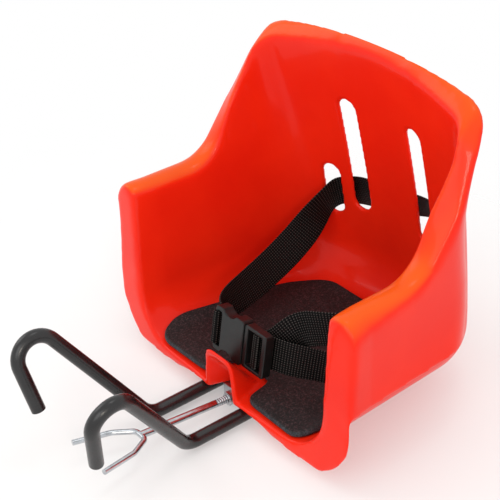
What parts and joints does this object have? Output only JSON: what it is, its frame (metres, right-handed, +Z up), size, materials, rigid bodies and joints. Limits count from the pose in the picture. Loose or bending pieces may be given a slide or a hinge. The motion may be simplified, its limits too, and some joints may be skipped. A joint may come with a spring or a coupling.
{
  "type": "kids handlebar bike seat",
  "caption": "Moulded bucket seat for a small child that hangs on a bicycle's handlebar by two bent hook rods, with a pad, a lap belt and a fork for the head tube.",
  "frame": {"origin": "on the ground under the middle of the bounding box", "axes": "+X to the rider's left when seated facing the handlebar, -Y towards the handlebar, +Z up with the rods level"},
  "size_m": [0.2832, 0.3393, 0.2583],
  "materials": {
    "red_shell": "glossy moulded plastic",
    "black_foam": "matt closed-cell foam",
    "rod_steel": "drawn steel rod",
    "black_sleeve": "satin soft plastic",
    "zinc_steel": "bright zinc plate",
    "fork_chrome": "bright plated",
    "black_webbing": "woven ribbed webbing",
    "buckle_plastic": "satin moulded plastic"
  },
  "bodies": {
    "root": {"seat_shell": "red_shell", "seat_pad": "black_foam", "left_hook_rod": "rod_steel", "right_hook_rod": "rod_steel", "left_hook_sleeve": "black_sleeve", "right_hook_sleeve": "black_sleeve", "front_clamp": "zinc_steel", "rear_clamp": "zinc_steel", "clamp_bolts": "zinc_steel", "clamp_washers": "zinc_steel", "clamp_lock_nuts": "zinc_steel", "adjusting_nut": "zinc_steel", "lock_nut": "zinc_steel", "lap_belt": "black_webbing", "buckle_female": "buckle_plastic"},
    "fork": {"fork_stem": "fork_chrome", "fork_yoke": "fork_chrome"},
    "male_half": {"buckle_male": "buckle_plastic"}
  },
  "joints": [
    {"name": "fork_adjust", "type": "slide", "parent": "root", "child": "fork", "axis": [0, -0.9952, 0.0983], "range_m": [-0.015, 0.025]},
    {"name": "buckle_release", "type": "slide", "parent": "root", "child": "male_half", "axis": [1, 0, 0], "range_m": [0, 0.026], "deforming": ["lap_belt"]}
  ]
}
